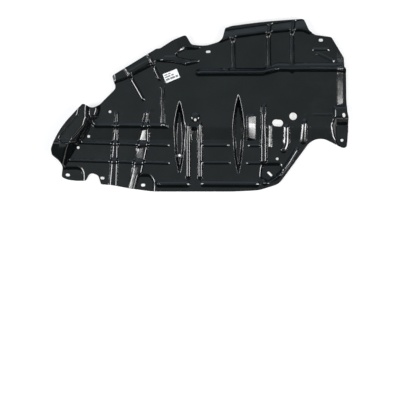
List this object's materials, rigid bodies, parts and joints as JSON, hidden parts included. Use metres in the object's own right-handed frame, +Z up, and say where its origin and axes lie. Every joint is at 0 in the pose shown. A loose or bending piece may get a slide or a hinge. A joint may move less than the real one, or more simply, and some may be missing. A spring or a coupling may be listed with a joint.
{
  "type": "engine splash shield",
  "caption": "Moulded plastic splash shield that closes the underside of an engine bay, with raised flanges, ribs, drain pockets and fixing holes.",
  "frame": {"origin": "middle of the shield's box, at its base under the keels", "axes": "+X along the shield, +Y towards its rear edge with the two flanges, +Z up, out of the engine side"},
  "size_m": [0.8464, 0.4911, 0.0595],
  "materials": {
    "black_plastic": "glossy thermoformed black sheet",
    "label_paper": "blank white sticker"
  },
  "bodies": {
    "root": {"shield_sheet": "black_plastic", "paper_label": "label_paper"}
  },
  "joints": []
}
